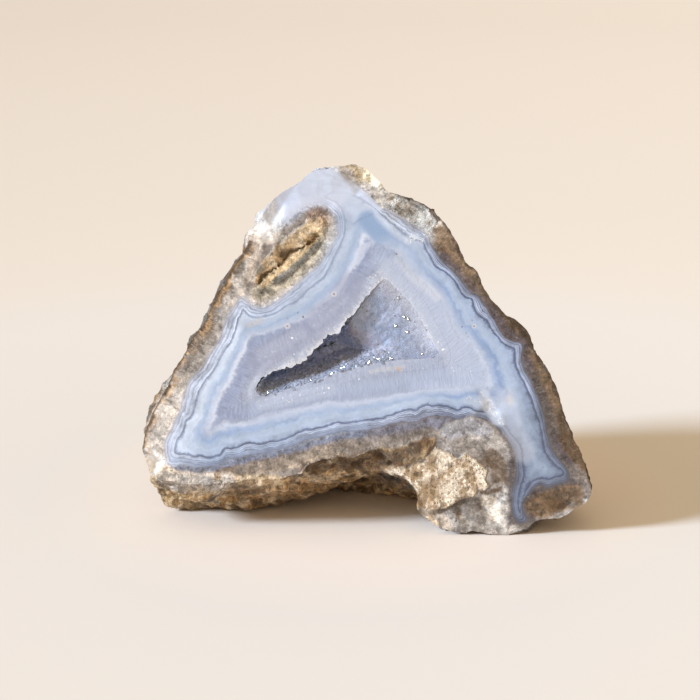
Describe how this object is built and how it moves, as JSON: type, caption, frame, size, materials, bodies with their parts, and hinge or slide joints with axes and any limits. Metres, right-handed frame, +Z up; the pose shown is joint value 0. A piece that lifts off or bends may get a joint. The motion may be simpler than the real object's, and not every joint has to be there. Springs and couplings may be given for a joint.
{
  "type": "blue lace agate geode piece",
  "caption": "Sawn piece of banded blue agate geode that stands on its rough feet, with a triangular hollow lined by small quartz points.",
  "frame": {"origin": "middle of the footprint box, on the surface that the stone stands on", "axes": "+X to the right along the sawn face, +Y away from the sawn face into the stone, +Z up"},
  "size_m": [0.0904, 0.0563, 0.0715],
  "materials": {
    "agate": "banded pale blue on the satin sawn face, brown and cream rough rind round it",
    "quartz": "glassy, sparkling lavender-white points"
  },
  "bodies": {
    "root": {"agate_stone": "agate", "quartz_druse": "quartz"}
  },
  "joints": []
}
